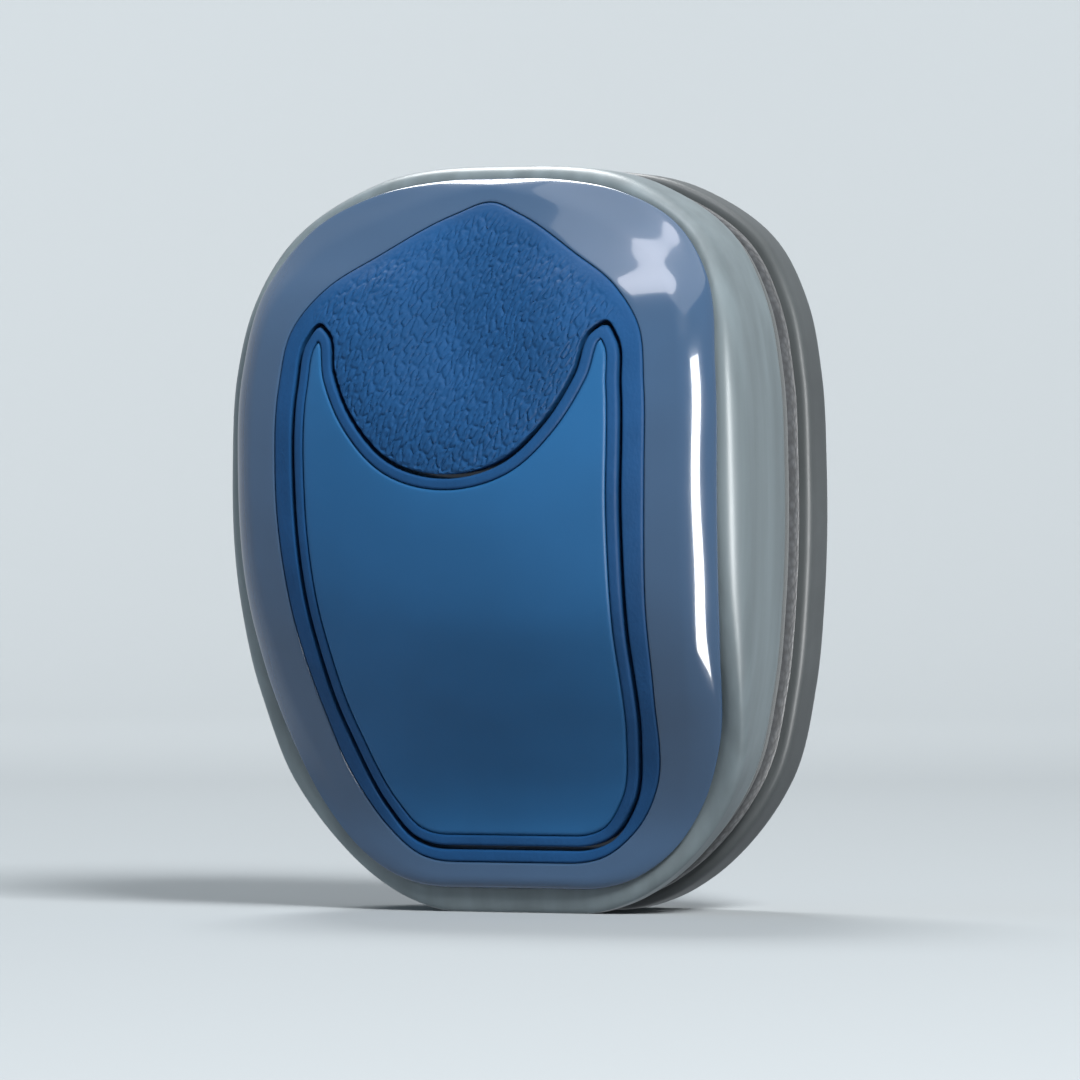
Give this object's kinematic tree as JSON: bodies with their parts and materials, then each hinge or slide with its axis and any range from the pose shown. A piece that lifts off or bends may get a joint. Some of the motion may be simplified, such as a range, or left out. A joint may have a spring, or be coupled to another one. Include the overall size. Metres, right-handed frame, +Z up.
{
  "type": "magnetic glass cleaner",
  "caption": "Two-part magnetic aquarium glass cleaner: humped outer half with a soft palm inlay and felt pad, flat floating inner half with a ribbed grip and scrubbing pad.",
  "frame": {"origin": "middle of the footprint, on the surface that the cleaner stands on when it is upright on its tail", "axes": "+Z up along the cleaner's length, towards its high end; +Y from the palm grip through the glass to the tank side; +X across, to the right seen from the palm side"},
  "size_m": [0.0544, 0.0368, 0.0732],
  "materials": {
    "slate_cover": "glossy slate blue",
    "pale_casing": "glossy pale grey-green",
    "soft_grip": "matt soft-touch blue with a leather grain",
    "smooth_panel": "satin blue",
    "base_plastic": "moulded dark grey",
    "magnet": "sintered, dull dark",
    "steel": "stainless",
    "film": "adhesive film",
    "felt": "dense soft felt",
    "dark_casing": "satin dark grey",
    "gasket": "matt black",
    "foam": "closed-cell foam",
    "hook_tape": "hook tape",
    "scrub_pad": "coarse looped scrubbing fleece"
  },
  "bodies": {
    "outer_half": {"outer_shell": "slate_cover", "outer_skirt": "pale_casing", "grip_surround": "soft_grip", "panel_bead": "soft_grip", "palm_panel": "smooth_panel", "outer_base_plate": "base_plastic", "outer_magnet_left": "magnet", "outer_magnet_right": "magnet", "outer_magnet_frame": "base_plastic", "outer_keeper_plate": "steel", "outer_screw_1": "steel", "outer_screw_2": "steel", "outer_screw_3": "steel", "felt_adhesive": "film", "felt_pad": "felt"},
    "inner_half": {"inner_shell": "dark_casing", "inner_grip": "soft_grip", "inner_base_plate": "base_plastic", "inner_gasket": "gasket", "inner_magnet_left": "magnet", "inner_magnet_right": "magnet", "inner_magnet_frame": "base_plastic", "inner_keeper_plate": "steel", "upper_float": "foam", "lower_float": "foam", "inner_screw_1": "steel", "inner_screw_2": "steel", "inner_screw_3": "steel", "hook_tape": "hook_tape", "scrub_pad": "scrub_pad"}
  },
  "joints": [
    {"name": "pull_off", "type": "slide", "parent": "outer_half", "child": "inner_half", "axis": [0, 1, 0], "range_m": [0, 0.05]}
  ]
}
